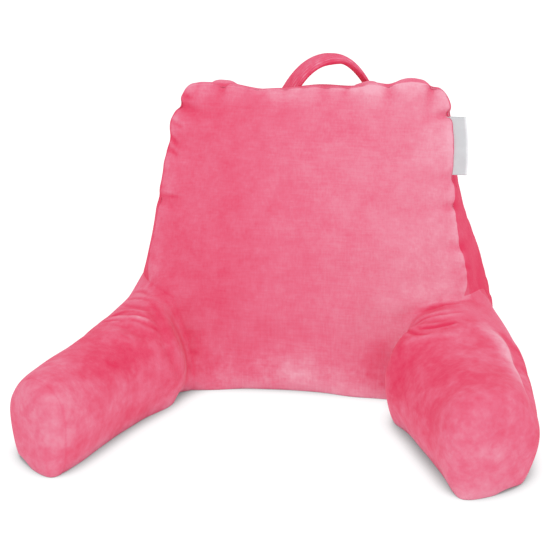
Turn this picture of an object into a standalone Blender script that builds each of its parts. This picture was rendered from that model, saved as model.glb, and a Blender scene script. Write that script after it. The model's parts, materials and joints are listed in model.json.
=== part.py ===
"""Reading pillow with arms: one filled body, a padded carry strap and a folded satin tab.

Metres, +Z up. The pillow stands on z = 0 and its front faces -Y. The origin is the bottom
centre of its bounding box. The body starts as a coarse cage, a leaning back with two arms
lofted out of its lower corners. It is smoothed, drawn in along its seams, creased at the
elbows and cut flat at the floor.
"""
from collections import namedtuple
from math import cos, pi, radians, sin, tan

import bmesh
import bpy
import numpy as np
from mathutils import Vector

NAME = "reading_pillow"

# ------------------------------------------------------------------ the back
BACK_X = 0.0162          # the back's middle, right of the origin because the arms are uneven
FRONT_Y = 0.0498         # the front seam where it meets the floor
BACK_HEIGHT = 0.446
BACK_LEAN = 14.8         # degrees that the front leans back
BASE_DEPTH = 0.190       # front seam to rear seam at the floor
TOP_DEPTH = 0.085        # the same along the top
FRONT_CROWN = 0.035      # how far the filling pushes the front panel out of its seams
REAR_CROWN = 0.020
TOP_FALL = (0.000, 0.010, 0.042)  # how far the top drops from front seam to rear seam
SIDE_CROWNS = (0.006, 0.002)  # left, right
FLOOR_ALLOWANCE = 0.006  # the cage reaches this far under the floor, where it is cut flat

Row = namedtuple("Row", "height left right flare root")
ROWS = (                 # share of the height, half widths, how much wider the rear seam is,
    Row(0.00, 0.250, 0.268, 0.013, 0.00),    # how far the left root seam slants outwards
    Row(0.15, 0.250, 0.268, 0.011, 0.10),
    Row(0.31, 0.246, 0.254, 0.009, 0.26),
    Row(0.47, 0.239, 0.226, 0.010, 0.08),
    Row(0.63, 0.226, 0.214, -0.004, 0.00),
    Row(0.81, 0.214, 0.207, -0.014, 0.00),
    Row(1.00, 0.200, 0.203, -0.020, 0.00),
)
Column = namedtuple("Column", "across lift toe")
COLUMNS = (              # share of the half width, top edge's lift, how far the foot stands out
    Column(-1.00, -0.005, 0.000),
    Column(-0.66, -0.008, 0.030),
    Column(-0.33, -0.014, 0.002),
    Column(0.00, -0.005, -0.002),
    Column(0.33, -0.006, 0.014),
    Column(0.66, 0.004, 0.016),
    Column(1.00, 0.004, 0.000),
)
DEPTH_STEPS = 2          # front seam, middle of the boxing, rear seam

# ------------------------------------------------------------------ the arms
Arm = namedtuple("Arm", "name side root_turn tip_turn end_turn length root_x root_y half_widths heights")
ARMS = (                 # turns in degrees out from straight ahead; sizes at root, middle, tip
    Arm("L", -1, 37.0, 18.4, 38.0, 0.341, 0.206, 0.014, (0.085, 0.067, 0.0605), (0.134, 0.116, 0.129)),
    Arm("R", 1, 34.5, 13.0, 31.0, 0.310, 0.195, 0.006, (0.116, 0.094, 0.061), (0.148, 0.124, 0.145)),
)
ROOT_ROWS = 2            # the arm takes up this many rows of the back
STATIONS = (0.12, 0.29, 0.47, 0.65, 0.81, 0.93, 0.98)
PATH_STEPS = 60
END_BEGINS = 0.6         # from here the sections turn towards the end panel

Spot = namedtuple("Spot", "root middle tip end up tip_up end_up")
SECTION = (              # an arm's section from its inner edge on the floor over to its outer:
    Spot(-0.90, -0.69, -0.68, -0.62, 0.00, 0.00, 0.00),  # shares of the half width and height
    Spot(-1.06, -1.04, -1.00, -0.66, 0.47, 0.47, 0.46),  # at its root, middle and tip and
    Spot(-0.86, -0.86, -0.84, -0.54, 0.93, 0.92, 0.80),  # inside its end panel
    Spot(0.00, 0.00, 0.00, 0.00, 1.04, 1.04, 0.88),
    Spot(0.88, 0.85, 0.78, 0.56, 0.93, 0.91, 0.80),
    Spot(1.05, 1.06, 1.27, 0.80, 0.47, 0.42, 0.44),
    Spot(0.72, 0.72, 0.82, 0.54, 0.00, 0.00, 0.12),
    Spot(0.00, 0.00, 0.00, 0.00, 0.00, 0.00, 0.00),
)
END_MIDDLE = 0.46        # height of the end panel's middle
END_CROWN = 0.004

# ------------------------------------------------------------------ seams, gathers and folds
PANEL_CREASE = 0.8       # how sharply the cage keeps the seams round the panels
FLOOR_CREASE = 0.5       # and the edge that it stands on
TIP_CREASE = 0.6
SEAM_HALF_WIDTH = 0.007
Seam = namedtuple("Seam", "name crease depth")
SEAMS = (
    Seam("front", PANEL_CREASE, 0.001),
    Seam("rear", PANEL_CREASE, 0.001),
    Seam("root_L", 0.0, 0.0005),
    Seam("root_R", 0.0, 0.0010),
    Seam("end_L", 0.0, 0.0006),
    Seam("end_R", 0.0, 0.0006),
)
Gather = namedtuple("Gather", "x z depth half_width reach")
GATHERS = (              # along the front seam; a negative depth stands out as a lobe
    Gather(-0.208, 0.267, 0.005, 0.010, 0.030),
    Gather(-0.201, 0.320, -0.002, 0.018, 0.030),
    Gather(-0.196, 0.352, 0.001, 0.008, 0.030),
    Gather(-0.194, 0.378, -0.005, 0.014, 0.030),
    Gather(-0.186, 0.404, 0.007, 0.008, 0.035),
    Gather(-0.161, 0.424, -0.003, 0.018, 0.030),
    Gather(-0.121, 0.412, 0.003, 0.008, 0.022),
    Gather(-0.066, 0.410, 0.002, 0.008, 0.020),
    Gather(-0.026, 0.413, 0.002, 0.008, 0.020),
    Gather(0.034, 0.415, 0.002, 0.010, 0.020),
    Gather(0.099, 0.418, -0.004, 0.014, 0.030),
    Gather(0.126, 0.420, 0.004, 0.008, 0.025),
    Gather(0.154, 0.424, -0.003, 0.016, 0.030),
    Gather(0.184, 0.424, 0.006, 0.007, 0.035),
    Gather(0.209, 0.403, 0.006, 0.007, 0.030),
    Gather(0.216, 0.360, -0.004, 0.022, 0.022),
    Gather(0.217, 0.315, 0.004, 0.008, 0.030),
    Gather(0.226, 0.275, 0.004, 0.008, 0.030),
    Gather(0.236, 0.220, 0.003, 0.008, 0.025),
)
Fold = namedtuple("Fold", "depth half_width start middle end")
FOLDS = (                # across the elbows, and along the outer top of each sleeve
    Fold(0.003, 0.010, (-0.256, 0.046, 0.130), (-0.231, 0.030, 0.131), (-0.198, 0.019, 0.132)),
    Fold(0.003, 0.009, (-0.207, 0.034, 0.134), (-0.165, -0.034, 0.108), (-0.145, -0.022, 0.034)),
    Fold(0.004, 0.011, (-0.246, -0.026, 0.128), (-0.214, -0.044, 0.127), (-0.176, -0.032, 0.121)),
    Fold(0.003, 0.010, (0.147, 0.057, 0.116), (0.186, 0.051, 0.137), (0.222, 0.059, 0.145)),
    Fold(0.005, 0.010, (0.154, 0.041, 0.118), (0.214, 0.010, 0.140), (0.269, 0.025, 0.139)),
    Fold(0.004, 0.010, (0.159, -0.017, 0.120), (0.204, -0.025, 0.135), (0.244, -0.013, 0.138)),
    Fold(-0.003, 0.012, (0.238, 0.004, 0.139), (0.302, -0.029, 0.126), (0.335, -0.195, 0.122)),
    Fold(0.004, 0.009, (0.309, 0.021, 0.124), (0.330, -0.062, 0.113), (0.350, -0.167, 0.095)),
    Fold(0.004, 0.009, (-0.286, 0.015, 0.124), (-0.314, -0.065, 0.113), (-0.341, -0.154, 0.095)),
)
FOLD_STEPS = 8
SMOOTH_LEVEL = 3
BODY_TRIANGLES = 9000

# ------------------------------------------------------------------ strap and tab
CLEARANCE = 0.00035      # sewn-on pieces end this far above the body
STRAP_X = 0.0445         # the top of the strap's arch
STRAP_TOP = 0.4717
STRAP_FOOT = 0.430       # height of its feet
Foot = namedtuple("Foot", "reach y power turn thickness")
STRAP_FEET = (           # how far out and where it meets the top, how square its shoulder is,
    Foot(-0.0639, 0.1865, 2.48, -48.0, 0.0116),   # degrees that the band turns, its thickness
    Foot(0.0472, 0.2065, 1.95, -28.0, 0.0072),
)
STRAP_MIDDLE = (-0.2, 0.0165)  # its thickest place, as a share of the reach, and thickness
STRAP_HALF_WIDTH = 0.0135
STRAP_SINK = 1.14        # its legs run on into the top as far as this share of the reach
STRAP_STATIONS = 15
STRAP_EDGE_CREASE = 0.5
BAND = (                 # half its section: shares of the half width and half thickness
    (1.00, 0.00),
    (0.82, 0.86),
    (0.00, 1.00),
    (-0.82, 0.86),
)
TAB_LOW, TAB_HIGH = 0.319, 0.400
TAB_REACH = 0.0165       # out of the seam at its cut ends
TAB_BOW = 0.003          # more at its middle
TAB_ROOT = 0.012         # sewn into the seam
TAB_BACK = 0.005         # behind the edge of the front panel
TAB_GAP = 0.0018         # middle to middle of its two layers
TAB_LAYER = 0.001
TAB_ROWS = 9
TAB_ARC = 6

PLUSH_COLOUR = (0.81, 0.16, 0.27, 1.0)
SATIN_COLOUR = (0.72, 0.73, 0.75, 1.0)


def bend(t, root, middle, tip):
    """A size that runs from root over middle to tip as t goes from 0 to 1."""
    return float(np.interp(t, (0.0, 0.5, 1.0), (root, middle, tip)))


# ------------------------------------------------------------------ the cage
def back_point(i, j, k):
    """Cage point in column i, depth step j (0 front, 2 rear) and row k."""
    row, column = ROWS[k], COLUMNS[i]
    rise = row.height
    half = row.left if column.across < 0 else row.right
    bulge = 1.0 - column.across**2
    height = BACK_HEIGHT * rise
    slope = tan(radians(BACK_LEAN))
    crown = FRONT_CROWN * sin(pi * min(1.0, 0.12 + 0.8 * rise)) * bulge if k else column.toe
    front = height * slope - crown
    rear_top = BACK_HEIGHT * slope + TOP_DEPTH
    rear = BASE_DEPTH + (rear_top - BASE_DEPTH) * rise + REAR_CROWN * bulge * sin(pi * rise)
    side_crown = SIDE_CROWNS[0 if column.across < 0 else 1]
    flare = (0.0, 0.5 * row.flare + side_crown, row.flare)[j]
    across = column.across - (row.root if i == 1 and j == 0 else 0.0)
    x = across * (half + flare)
    y = front + (rear - front) * j / DEPTH_STEPS
    if k == 0:
        z = -FLOOR_ALLOWANCE
    elif k == len(ROWS) - 1:
        z = height + column.lift - TOP_FALL[j]
    else:
        z = height + (column.lift * rise**3 if j < DEPTH_STEPS else 0.0)
    return Vector((BACK_X + x, FRONT_Y + y, z))


def arm_path(arm):
    """Distance, place and heading along the middle of an arm, from its root out."""
    track = []
    x, y = arm.root_x, arm.root_y
    step = arm.length / PATH_STEPS
    for n in range(PATH_STEPS + 1):
        left = max(0.0, 1.0 - 2.0 * n / PATH_STEPS)
        turn = radians(arm.tip_turn + (arm.root_turn - arm.tip_turn) * left**2)
        track.append((n * step, x, y, turn))
        x += sin(turn) * step
        y -= cos(turn) * step
    return np.array(track)


def arm_ring(arm, track, station):
    """The eight cage points of an arm's section; the last ring lies inside the end panel."""
    share = STATIONS[station - 1]
    x, y, turn = (np.interp(share * arm.length, track[:, 0], track[:, c]) for c in (1, 2, 3))
    turn += radians(arm.end_turn - arm.tip_turn) * max(0.0, (share - END_BEGINS) / (1.0 - END_BEGINS))
    half = bend(share, *arm.half_widths)
    tall = bend(share, *arm.heights)
    last = station == len(STATIONS)
    ring = []
    for spot in SECTION:
        across = bend(share, spot.root, spot.middle, spot.tip)
        up = bend(share, spot.up, spot.up, spot.tip_up)
        if last:
            across, up = spot.end, spot.end_up
        z = tall * up if up > 0.0 else -FLOOR_ALLOWANCE
        ring.append(Vector((
            BACK_X + arm.side * (x + across * half * cos(turn)),
            FRONT_Y + y + across * half * sin(turn),
            z,
        )))
    return ring


def arm_root(arm):
    """Keys of the back's points that the arm grows out of, in the order of SECTION."""
    edge = 0 if arm.side < 0 else len(COLUMNS) - 1
    inner = 1 if arm.side < 0 else len(COLUMNS) - 2
    top = ROOT_ROWS
    return [
        (inner, 0, 0), (inner, 0, 1), (inner, 0, top), (edge, 0, top),
        (edge, 1, top), (edge, 1, 1), (edge, 1, 0), (edge, 0, 0),
    ]


def cage_points():
    """Every cage point by its key."""
    points = {}
    for i in range(len(COLUMNS)):
        for j in range(DEPTH_STEPS + 1):
            for k in range(len(ROWS)):
                points[i, j, k] = back_point(i, j, k)
    for arm in ARMS:
        track = arm_path(arm)
        for station in range(1, len(STATIONS) + 1):
            for n, point in enumerate(arm_ring(arm, track, station)):
                points[arm.name, station, n] = point
        _, x, y, _ = track[-1]
        turn = radians(arm.end_turn)
        tall = arm.heights[-1]
        points[arm.name, "end"] = Vector((
            BACK_X + arm.side * (x + END_CROWN * sin(turn)),
            FRONT_Y + y - END_CROWN * cos(turn),
            END_MIDDLE * tall,
        ))
    return points


def cage_faces():
    """Quads of the cage as tuples of keys, facing out."""
    wide, tall, deep = len(COLUMNS) - 1, len(ROWS) - 1, DEPTH_STEPS
    faces = []
    for k in range(tall):
        for i in range(wide):
            if k >= ROOT_ROWS or i not in (0, wide - 1):
                faces.append(((i, 0, k), (i + 1, 0, k), (i + 1, 0, k + 1), (i, 0, k + 1)))
            faces.append(((i + 1, deep, k), (i, deep, k), (i, deep, k + 1), (i + 1, deep, k + 1)))
        for j in range(deep):
            if k >= ROOT_ROWS or j > 0:
                faces.append(((wide, j, k), (wide, j + 1, k), (wide, j + 1, k + 1), (wide, j, k + 1)))
                faces.append(((0, j + 1, k), (0, j, k), (0, j, k + 1), (0, j + 1, k + 1)))
    for i in range(wide):
        for j in range(deep):
            faces.append(((i, j, tall), (i + 1, j, tall), (i + 1, j + 1, tall), (i, j + 1, tall)))
            faces.append(((i, j + 1, 0), (i + 1, j + 1, 0), (i + 1, j, 0), (i, j, 0)))
    for arm in ARMS:
        rings = [arm_root(arm)]
        rings += [[(arm.name, s, n) for n in range(8)] for s in range(1, len(STATIONS) + 1)]
        sleeve = []
        for near, far in zip(rings, rings[1:]):
            for n in range(8):
                m = (n + 1) % 8
                sleeve.append((near[n], near[m], far[m], far[n]))
        last, end = rings[-1], (arm.name, "end")
        for n in range(0, 8, 2):
            sleeve.append((last[n], last[n + 1], end, last[n - 1]))
        faces += sleeve if arm.side < 0 else [face[::-1] for face in sleeve]
    return faces


def chain(keys):
    """The edges that join the keys one after another."""
    return list(zip(keys, keys[1:]))


def seam_edges():
    """Cage edges of every seam, by the seam's name."""
    wide, tall, deep = len(COLUMNS) - 1, len(ROWS) - 1, DEPTH_STEPS
    edges = {}
    for name, j, low in (("front", 0, ROOT_ROWS), ("rear", deep, 0)):
        up = [(0, j, k) for k in range(low, tall)]
        over = [(i, j, tall) for i in range(wide + 1)]
        down = [(wide, j, k) for k in range(tall - 1, low - 1, -1)]
        edges[name] = chain(up + over + down)
    for arm in ARMS:
        edges["root_" + arm.name] = chain(arm_root(arm)[:-1])
        ring = [(arm.name, len(STATIONS) - 1, n) for n in range(7)]
        edges["end_" + arm.name] = chain(ring)
    return edges


def cage_creases():
    """Cage edges that stay firmer than the rest."""
    wide = len(COLUMNS) - 1
    creases = {}
    seams = seam_edges()
    for seam in SEAMS:
        creases.update({edge: seam.crease for edge in seams[seam.name]})
    for j in (0, DEPTH_STEPS):
        for i in range(wide):
            creases[(i, j, 0), (i + 1, j, 0)] = FLOOR_CREASE
    for arm in ARMS:
        last = len(STATIONS)
        inner = [(arm.name, s, 0) for s in range(1, last + 1)]
        outer = [(arm.name, s, 6) for s in range(1, last + 1)]
        floor_edge = inner + [(arm.name, last, 7)] + outer[::-1]
        creases.update({edge: TIP_CREASE for edge in chain(floor_edge)})
    return creases


def cage_mesh(name):
    """The cage as a mesh: its edges carry their creases and its points their seams."""
    points, faces = cage_points(), cage_faces()
    used = [key for key in points if any(key in face for face in faces)]
    number = {key: n for n, key in enumerate(used)}
    mesh = bpy.data.meshes.new(name)
    mesh.from_pydata([points[key] for key in used], [], [[number[key] for key in face] for face in faces])
    crease = mesh.attributes.new("crease_edge", "FLOAT", "EDGE")
    firm = {frozenset((number[a], number[b])): weight for (a, b), weight in cage_creases().items()}
    for edge in mesh.edges:
        crease.data[edge.index].value = firm.get(frozenset(edge.vertices), 0.0)
    for seam, edges in seam_edges().items():
        on_seam = mesh.attributes.new(seam, "FLOAT", "POINT")
        for key in {key for edge in edges for key in edge}:
            on_seam.data[number[key]].value = 1.0
    return mesh


# ------------------------------------------------------------------ modelling steps
def link(name, mesh, collection):
    obj = bpy.data.objects.new(name, mesh)
    collection.objects.link(obj)
    return obj


def evaluated(obj):
    """The object's mesh with its modifiers applied; the modifiers are then removed."""
    bpy.context.view_layer.update()
    graph = bpy.context.evaluated_depsgraph_get()
    mesh = bpy.data.meshes.new_from_object(obj.evaluated_get(graph))
    obj.modifiers.clear()
    old, obj.data = obj.data, mesh
    bpy.data.meshes.remove(old)
    return mesh


def smooth(obj, level):
    modifier = obj.modifiers.new("smooth", "SUBSURF")
    modifier.levels = modifier.render_levels = level
    return evaluated(obj)


def thin_out(obj, triangles):
    """Fewer triangles where the surface is nearly flat."""
    obj.data.calc_loop_triangles()
    modifier = obj.modifiers.new("thin_out", "DECIMATE")
    modifier.ratio = triangles / len(obj.data.loop_triangles)
    return evaluated(obj)


def cut_at_floor(obj):
    """One flat face at z = 0 where the body rests."""
    bm = bmesh.new()
    bm.from_mesh(obj.data)
    everything = bm.verts[:] + bm.edges[:] + bm.faces[:]
    cut = bmesh.ops.bisect_plane(
        bm, geom=everything, dist=1e-6, plane_co=(0, 0, 0), plane_no=(0, 0, 1), clear_inner=True)
    rim = [item for item in cut["geom_cut"] if isinstance(item, bmesh.types.BMEdge)]
    bmesh.ops.contextual_create(bm, geom=rim)
    bmesh.ops.recalc_face_normals(bm, faces=bm.faces)
    bm.to_mesh(obj.data)
    bm.free()


def material(name, colour, roughness):
    mat = bpy.data.materials.new(name)
    mat.use_nodes = True
    shader = mat.node_tree.nodes["Principled BSDF"]
    shader.inputs["Base Color"].default_value = colour
    shader.inputs["Roughness"].default_value = roughness
    shader.inputs["Metallic"].default_value = 0.0
    return mat


def read_points(mesh):
    """The mesh's points and normals as arrays."""
    flat = np.empty(len(mesh.vertices) * 3, np.float32)
    mesh.vertices.foreach_get("co", flat)
    places = flat.reshape(-1, 3).astype(float)
    mesh.vertex_normals.foreach_get("vector", flat)
    return places, flat.reshape(-1, 3).astype(float)


def seam_points(mesh, places, name):
    """The points that lie on a seam: smoothing keeps the value 1 only along its edges."""
    value = np.empty(len(places), np.float32)
    mesh.attributes[name].data.foreach_get("value", value)
    return places[value > 0.999]


def distance_to_line(places, line):
    """Distance of every place to a line of points, and how far along it that is, 0 to 1."""
    best = np.full(len(places), np.inf)
    along = np.zeros(len(places))
    lengths = np.linalg.norm(np.diff(line, axis=0), axis=1)
    starts = np.concatenate(((0.0,), np.cumsum(lengths)))
    for a, b, start, length in zip(line, line[1:], starts, lengths):
        t = np.clip((places - a) @ (b - a) / length**2, 0.0, 1.0)
        gap = np.linalg.norm(places - a - t[:, None] * (b - a), axis=1)
        nearer = gap < best
        best[nearer] = gap[nearer]
        along[nearer] = (start + t * length)[nearer]
    return best, along / starts[-1]


def draw_in_seams(mesh):
    """Pull the filled panels in along their seams."""
    places, normals = read_points(mesh)
    inward = np.zeros(len(places))
    for seam in SEAMS:
        line = seam_points(mesh, places, seam.name)
        gaps = np.min(np.linalg.norm(places[:, None] - line[None], axis=2), axis=1)
        inward = np.maximum(inward, seam.depth * np.exp(-(gaps / SEAM_HALF_WIDTH) ** 2))
    write_points(mesh, places - normals * inward[:, None])


def gather_seam(mesh):
    """Uneven gathers along the front seam, each a short dent or lobe across both panels."""
    places, normals = read_points(mesh)
    line = seam_points(mesh, places, "front")
    inward = np.zeros(len(places))
    for gather in GATHERS:
        hint = np.array((gather.x, gather.z))
        order = np.argsort(np.linalg.norm(line[:, (0, 2)] - hint, axis=1))
        middle = line[order[0]]
        course = line[order[2]] - line[order[1]]
        course /= np.linalg.norm(course)
        from_middle = places - middle
        along = from_middle @ course
        away = np.linalg.norm(from_middle - along[:, None] * course, axis=1)
        dent = np.exp(-(along / gather.half_width) ** 2) * np.exp(-(away / gather.reach) ** 2)
        inward += gather.depth * dent
    write_points(mesh, places - normals * inward[:, None])


def fold_line(fold, places):
    """The fold's course on the surface, a curve over three points."""
    start, middle, end = (np.array(point) for point in (fold.start, fold.middle, fold.end))
    line = []
    for t in np.linspace(0.0, 1.0, FOLD_STEPS):
        point = (1 - t) * (1 - 2 * t) * start + 4 * t * (1 - t) * middle + t * (2 * t - 1) * end
        line.append(places[np.argmin(np.linalg.norm(places - point, axis=1))])
    return np.array([point for n, point in enumerate(line) if n == 0 or any(point != line[n - 1])])


def press_folds(mesh):
    """Creases that run out softly at both ends."""
    places, normals = read_points(mesh)
    inward = np.zeros(len(places))
    for fold in FOLDS:
        gaps, along = distance_to_line(places, fold_line(fold, places))
        inward += fold.depth * np.exp(-(gaps / fold.half_width) ** 2) * np.sin(pi * along) ** 0.5
    write_points(mesh, places - normals * inward[:, None])


def write_points(mesh, places):
    mesh.vertices.foreach_set("co", places.astype(np.float32).ravel())
    mesh.update()


# ------------------------------------------------------------------ the pieces
def make_body(collection):
    body = link("pillow", cage_mesh("pillow"), collection)
    mesh = smooth(body, SMOOTH_LEVEL)
    draw_in_seams(mesh)
    gather_seam(mesh)
    press_folds(mesh)
    thin_out(body, BODY_TRIANGLES)
    cut_at_floor(body)
    return body


def make_clearance(body, collection):
    """The body a little larger, which trims what is sewn onto it."""
    cutter = link("clearance", body.data.copy(), collection)
    places, normals = read_points(cutter.data)
    write_points(cutter.data, places + normals * CLEARANCE)
    cutter.hide_render = True
    cutter.display_type = "WIRE"
    return cutter


def trim(obj, cutter):
    modifier = obj.modifiers.new("trim", "BOOLEAN")
    modifier.operation = "DIFFERENCE"
    modifier.solver = "EXACT"
    modifier.object = cutter


def strap_ring(u):
    """Section of the strap at u, from -1 at its left foot to 1 at its right one."""
    left, right = STRAP_FEET
    foot = left if u < 0.0 else right
    rise = STRAP_TOP - STRAP_FOOT
    middle = Vector((
        STRAP_X + foot.reach * abs(u),
        np.interp(u, (-1.0, 1.0), (left.y, right.y)),
        STRAP_FOOT + rise * (1.0 - abs(u)**foot.power),
    ))
    slope = foot.power * rise / foot.reach * abs(u)**(foot.power - 1.0)
    outward = Vector((slope, 0.0, 1.0)).normalized()
    turn = radians(np.interp(u, (-1.0, 1.0), (left.turn, right.turn)))
    across = Vector((sin(turn), cos(turn), 0.0)) * STRAP_HALF_WIDTH
    share, thickest = STRAP_MIDDLE
    thickness = np.interp(u, (-1.0, share, 1.0), (left.thickness, thickest, right.thickness))
    outward *= thickness / 2.0
    section = BAND + tuple((-a, -t) for a, t in BAND)
    return [middle + across * a + outward * t for a, t in section]


def make_strap(collection, cutter):
    """A padded band that arches over the top, its two long edges pinched by their stitching."""
    bm = bmesh.new()
    crease = bm.edges.layers.float.new("crease_edge")
    shares = np.linspace(-STRAP_SINK, STRAP_SINK, STRAP_STATIONS)
    rings = [[bm.verts.new(point) for point in strap_ring(u)] for u in shares]
    count = len(rings[0])
    for near, far in zip(rings, rings[1:]):
        for n in range(count):
            m = (n + 1) % count
            bm.faces.new((near[n], near[m], far[m], far[n]))
        for n in (0, count // 2):
            bm.edges.get((near[n], far[n]))[crease] = STRAP_EDGE_CREASE
    bm.faces.new(rings[0][::-1])
    bm.faces.new(rings[-1])
    bmesh.ops.recalc_face_normals(bm, faces=bm.faces)
    mesh = bpy.data.meshes.new("handle")
    bm.to_mesh(mesh)
    bm.free()
    strap = link("handle", mesh, collection)
    modifier = strap.modifiers.new("smooth", "SUBSURF")
    modifier.levels = modifier.render_levels = 1
    trim(strap, cutter)
    return strap


def tab_section(reach):
    """A folded ribbon seen from its cut end: out along one layer, round and back."""
    half = TAB_GAP / 2.0
    turn = [pi * n / TAB_ARC for n in range(TAB_ARC + 1)]
    fold = [(reach - half + half * sin(a), -half * cos(a)) for a in turn]
    return [(-TAB_ROOT, -half)] + fold + [(-TAB_ROOT, half)]


def make_tab(collection, cutter):
    """A satin ribbon folded double and caught in the right side seam."""
    heights = [row.height * BACK_HEIGHT for row in ROWS]
    halves = [row.right for row in ROWS]
    lean = tan(radians(BACK_LEAN))
    outward, facing = Vector((1.0, 0.0, 0.0)), Vector((0.0, 1.0, 0.0))
    bm = bmesh.new()
    rows = []
    for t in np.linspace(0.0, 1.0, TAB_ROWS):
        z = TAB_LOW + (TAB_HIGH - TAB_LOW) * t
        seam = Vector((BACK_X + np.interp(z, heights, halves), FRONT_Y + z * lean + TAB_BACK, z))
        reach = TAB_REACH + TAB_BOW * sin(pi * t)
        rows.append([bm.verts.new(seam + outward * o + facing * f) for o, f in tab_section(reach)])
    for low, high in zip(rows, rows[1:]):
        for n in range(len(low) - 1):
            bm.faces.new((low[n], low[n + 1], high[n + 1], high[n]))
    mesh = bpy.data.meshes.new("label")
    bm.to_mesh(mesh)
    bm.free()
    tab = link("label", mesh, collection)
    modifier = tab.modifiers.new("ribbon", "SOLIDIFY")
    modifier.thickness = TAB_LAYER
    modifier.offset = 0.0
    trim(tab, cutter)
    return tab


def clear_scene():
    for obj in list(bpy.data.objects):
        bpy.data.objects.remove(obj, do_unlink=True)


def main():
    clear_scene()
    model = bpy.data.collections.new(NAME)
    cutters = bpy.data.collections.new("cutters")
    for collection in (model, cutters):
        bpy.context.scene.collection.children.link(collection)
    body = make_body(model)
    cutter = make_clearance(body, cutters)
    finishes = (
        (body, material("plush", PLUSH_COLOUR, 0.9)),
        (make_strap(model, cutter), material("strap_plush", PLUSH_COLOUR, 0.9)),
        (make_tab(model, cutter), material("satin", SATIN_COLOUR, 0.4)),
    )
    for obj, finish in finishes:
        obj.data.materials.append(finish)
        obj.data.shade_smooth()


main()
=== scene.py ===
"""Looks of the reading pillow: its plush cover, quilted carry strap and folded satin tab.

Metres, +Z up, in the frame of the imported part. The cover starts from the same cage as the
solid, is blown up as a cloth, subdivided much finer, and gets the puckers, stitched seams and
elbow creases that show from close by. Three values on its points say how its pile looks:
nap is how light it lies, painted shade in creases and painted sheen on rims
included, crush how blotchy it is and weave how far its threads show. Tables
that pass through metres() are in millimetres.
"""
import json
from collections import namedtuple
from math import cos, pi, radians, sin, tan

import bmesh
import bpy
import numpy as np
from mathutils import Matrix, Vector

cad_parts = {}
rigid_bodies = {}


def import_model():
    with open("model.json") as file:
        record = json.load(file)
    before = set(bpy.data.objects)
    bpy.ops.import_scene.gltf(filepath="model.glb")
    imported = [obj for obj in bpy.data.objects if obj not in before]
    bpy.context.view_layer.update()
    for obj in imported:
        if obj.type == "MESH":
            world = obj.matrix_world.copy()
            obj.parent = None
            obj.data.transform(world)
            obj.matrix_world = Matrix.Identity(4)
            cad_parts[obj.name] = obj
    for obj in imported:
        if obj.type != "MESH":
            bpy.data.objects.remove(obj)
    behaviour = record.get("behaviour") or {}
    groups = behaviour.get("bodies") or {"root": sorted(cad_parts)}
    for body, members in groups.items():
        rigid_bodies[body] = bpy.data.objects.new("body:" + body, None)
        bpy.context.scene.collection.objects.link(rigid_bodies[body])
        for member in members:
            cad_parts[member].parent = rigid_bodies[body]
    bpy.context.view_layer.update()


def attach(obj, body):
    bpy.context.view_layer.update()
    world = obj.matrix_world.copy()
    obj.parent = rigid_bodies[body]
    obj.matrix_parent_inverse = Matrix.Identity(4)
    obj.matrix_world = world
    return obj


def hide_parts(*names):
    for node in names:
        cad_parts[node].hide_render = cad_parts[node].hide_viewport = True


def metres(row):
    """A table's row of millimetres, and the points in it, in metres."""
    return [metres(item) if isinstance(item, tuple) else item / 1000.0 for item in row]


# ------ the back
BACK_X = 0.0162          # the back's middle, right of the origin because the arms are uneven
FRONT_Y = 0.0498         # the front seam where it meets the floor
BACK_HEIGHT = 0.446
BACK_LEAN = 14.8         # degrees that the front leans back
BASE_DEPTH = 0.190       # front seam to rear seam at the floor
TOP_DEPTH = 0.085        # the same along the top
FRONT_CROWN = 0.035      # how far the filling pushes the front panel out of its seams
REAR_CROWN = 0.020
TOP_FALL = (0.000, 0.010, 0.042)  # how far the top drops from front seam to rear seam
SIDE_CROWNS = (0.006, 0.002)  # left, right
CROWN_PLACES = (0.12, 0.92)  # where on its arch the crown is at the foot and the top
FLOOR_ALLOWANCE = 0.006  # the cage reaches this far under the floor, where it is cut flat

Row = namedtuple("Row", "height left right flare root")
ROWS = (                 # share of the height, half widths, how much wider the rear seam is,
    Row(0.00, 0.250, 0.268, 0.013, 0.00),  # how far the left root seam slants outwards
    Row(0.15, 0.250, 0.268, 0.011, 0.10),
    Row(0.31, 0.246, 0.254, 0.009, 0.26),
    Row(0.47, 0.239, 0.226, 0.010, 0.08),
    Row(0.63, 0.226, 0.214, -0.004, 0.00),
    Row(0.81, 0.214, 0.207, -0.014, 0.00),
    Row(1.00, 0.200, 0.203, -0.020, 0.00),
)
Column = namedtuple("Column", "across lift toe")
COLUMNS = (              # share of the half width, top edge's lift, how far the foot stands out
    Column(-1.00, -0.005, 0.000),
    Column(-0.66, -0.008, 0.030),
    Column(-0.33, -0.014, 0.002),
    Column(0.00, -0.005, -0.002),
    Column(0.33, -0.006, 0.014),
    Column(0.66, 0.004, 0.016),
    Column(1.00, 0.004, 0.000),
)
DEPTH_STEPS = 2          # front seam, middle of the boxing, rear seam

# ------ the arms
Arm = namedtuple("Arm", "name side turns length root half_widths heights")
ARMS = (                 # degrees out from straight ahead at root, tip and end panel;
    Arm("L", -1, (37.0, 18.4, 38.0), 0.341, (0.206, 0.014),  # sizes at root, middle and tip
        (0.085, 0.067, 0.0605), (0.134, 0.116, 0.129)),
    Arm("R", 1, (34.5, 13.0, 31.0), 0.310, (0.195, 0.006),
        (0.116, 0.094, 0.061), (0.148, 0.124, 0.145)),
)
ROOT_ROWS = 2            # the arm takes up this many rows of the back
STATIONS = (0.12, 0.29, 0.47, 0.65, 0.81, 0.93, 0.98)
PATH_STEPS = 60
END_BEGINS = 0.6         # from here the sections turn towards the end panel

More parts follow.
